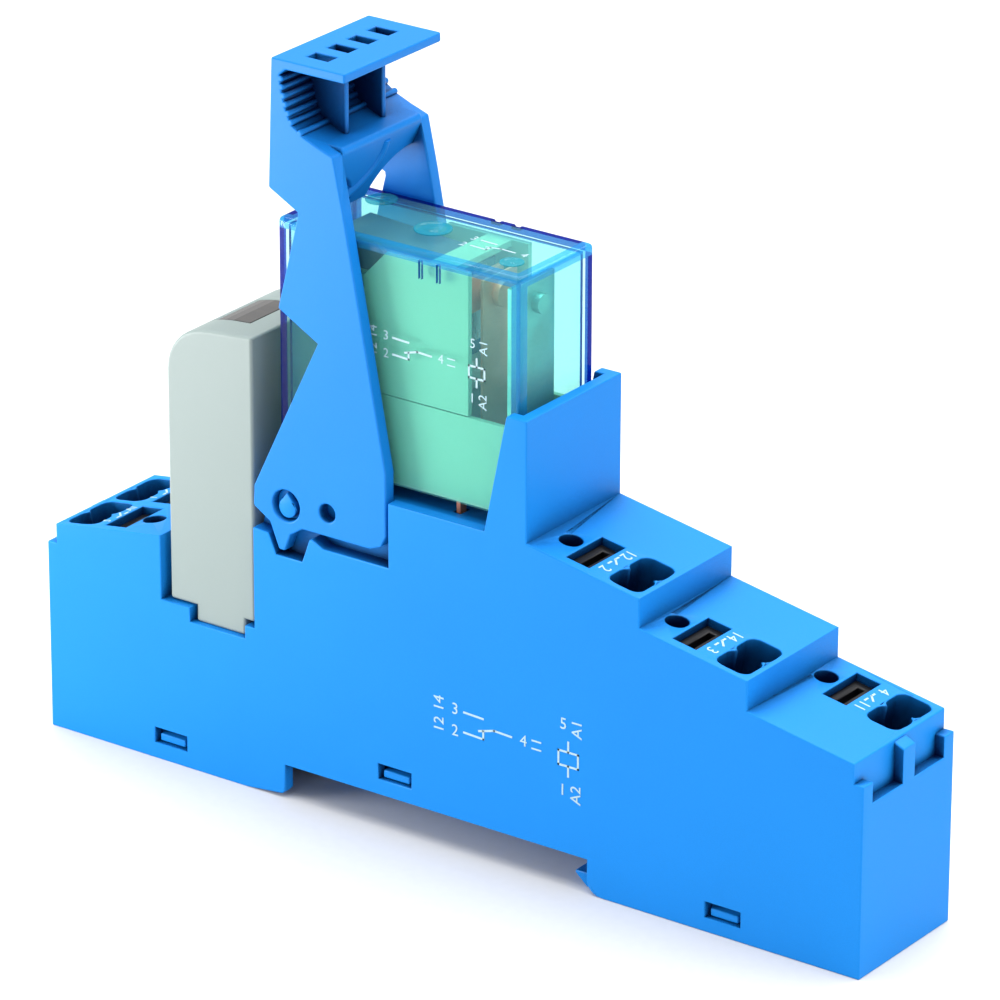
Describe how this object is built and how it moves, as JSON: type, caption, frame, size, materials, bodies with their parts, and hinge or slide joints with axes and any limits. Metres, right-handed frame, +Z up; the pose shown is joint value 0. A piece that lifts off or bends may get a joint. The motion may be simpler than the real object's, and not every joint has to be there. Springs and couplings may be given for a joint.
{
  "type": "plug-in relay",
  "caption": "Slim plug-in relay in a push-in terminal socket for a 35 mm rail, with an ejecting clip and an indicator module.",
  "frame": {"origin": "centre of the bounding box at the underside of the feet", "axes": "+X along the socket towards the stepped contact terminals, +Y across it towards the back face, +Z up, away from the rail"},
  "size_m": [0.0982, 0.0158, 0.0779],
  "materials": {
    "socket_plastic": "fine moulded grain",
    "clip_plastic": "fine moulded grain",
    "button_plastic": "matt",
    "steel": "stamped",
    "copper": "stamped copper alloy",
    "winding": "enamelled wire",
    "mint_plastic": "moulded",
    "clear_cover": "clear tinted polycarbonate",
    "grey_plastic": "fine moulded grain",
    "smoked_lens": "polished",
    "circuit_board": "solder mask",
    "led": "moulded",
    "ivory_plastic": "moulded",
    "black_plastic": "moulded"
  },
  "bodies": {
    "socket": {"socket_housing": "socket_plastic", "base_cover": "socket_plastic", "contact_strip_11": "copper", "contact_strip_12": "copper", "contact_strip_14": "copper", "contact_strip_a1": "copper", "contact_strip_a2": "copper", "clamp_spring_11": "steel", "clamp_spring_12": "steel", "clamp_spring_14": "steel", "clamp_spring_a1": "steel", "clamp_spring_a2": "steel", "latch_spring": "steel"},
    "latch": {"rail_latch": "steel"},
    "clip": {"retaining_clip": "clip_plastic"},
    "relay": {"relay_cover": "clear_cover", "relay_base": "mint_plastic", "insulating_wall": "mint_plastic", "bobbin": "mint_plastic", "coil_winding": "winding", "coil_core": "steel", "yoke": "steel", "common_terminal": "copper", "contact_nc": "copper", "contact_no": "steel", "coil_pins": "steel"},
    "armature_body": {"armature": "steel", "return_spring": "steel", "actuator": "ivory_plastic"},
    "contact_blade": {"moving_contact": "copper"},
    "module": {"module_housing": "grey_plastic", "module_lens": "smoked_lens", "module_board": "circuit_board", "module_led": "led", "module_diode": "black_plastic", "module_pins": "steel"},
    "button_11_body": {"button_11": "button_plastic"},
    "button_12_body": {"button_12": "button_plastic"},
    "button_14_body": {"button_14": "button_plastic"},
    "button_a1_body": {"button_a1": "button_plastic"},
    "button_a2_body": {"button_a2": "button_plastic"}
  },
  "joints": [
    {"name": "clip_hinge", "type": "hinge", "parent": "socket", "child": "clip", "pos_m": [-0.01875, 0, 0.0317], "axis": [0, 1, 0], "range_deg": [-25, 0]},
    {"name": "relay_lift", "type": "slide", "parent": "socket", "child": "relay", "axis": [0, 0, -1], "range_m": [-0.0022, 0]},
    {"name": "module_slide", "type": "slide", "parent": "socket", "child": "module", "axis": [0, 0, 1], "range_m": [0, 0.008]},
    {"name": "latch_slide", "type": "slide", "parent": "socket", "child": "latch", "axis": [-1, 0, 0], "range_m": [0, 0.0018], "stiffness_N_per_m": 600, "deforming": ["latch_spring"]},
    {"name": "armature_hinge", "type": "hinge", "parent": "relay", "child": "armature_body", "pos_m": [-0.0022, 0, 0.0576], "axis": [0, -1, 0], "range_deg": [0, 3.3], "stiffness_Nm_per_rad": 0.02, "springref_deg": -2.86},
    {"name": "blade_flex", "type": "hinge", "parent": "relay", "child": "contact_blade", "pos_m": [0.00135, 0, 0.0389], "axis": [0, 1, 0], "range_deg": [-0.1, 3.7]},
    {"name": "button_11_press", "type": "slide", "parent": "socket", "child": "button_11_body", "axis": [-0.1736, 0, -0.9848], "range_m": [0, 0.0016], "stiffness_N_per_m": 900, "deforming": ["clamp_spring_11"]},
    {"name": "button_12_press", "type": "slide", "parent": "socket", "child": "button_12_body", "axis": [-0.1736, 0, -0.9848], "range_m": [0, 0.0016], "stiffness_N_per_m": 900, "deforming": ["clamp_spring_12"]},
    {"name": "button_14_press", "type": "slide", "parent": "socket", "child": "button_14_body", "axis": [-0.1736, 0, -0.9848], "range_m": [0, 0.0016], "stiffness_N_per_m": 900, "deforming": ["clamp_spring_14"]},
    {"name": "button_a1_press", "type": "slide", "parent": "socket", "child": "button_a1_body", "axis": [0.1513, 0, -0.9885], "range_m": [0, 0.0016], "stiffness_N_per_m": 900, "deforming": ["clamp_spring_a1"]},
    {"name": "button_a2_press", "type": "slide", "parent": "socket", "child": "button_a2_body", "axis": [0.1513, 0, -0.9885], "range_m": [0, 0.0016], "stiffness_N_per_m": 900, "deforming": ["clamp_spring_a2"]}
  ],
  "couplings": [
    {"joint": "clip_hinge", "follows": "relay_lift", "rad_per_m": 198.33},
    {"joint": "blade_flex", "follows": "armature_hinge", "ratio": 1.06}
  ]
}
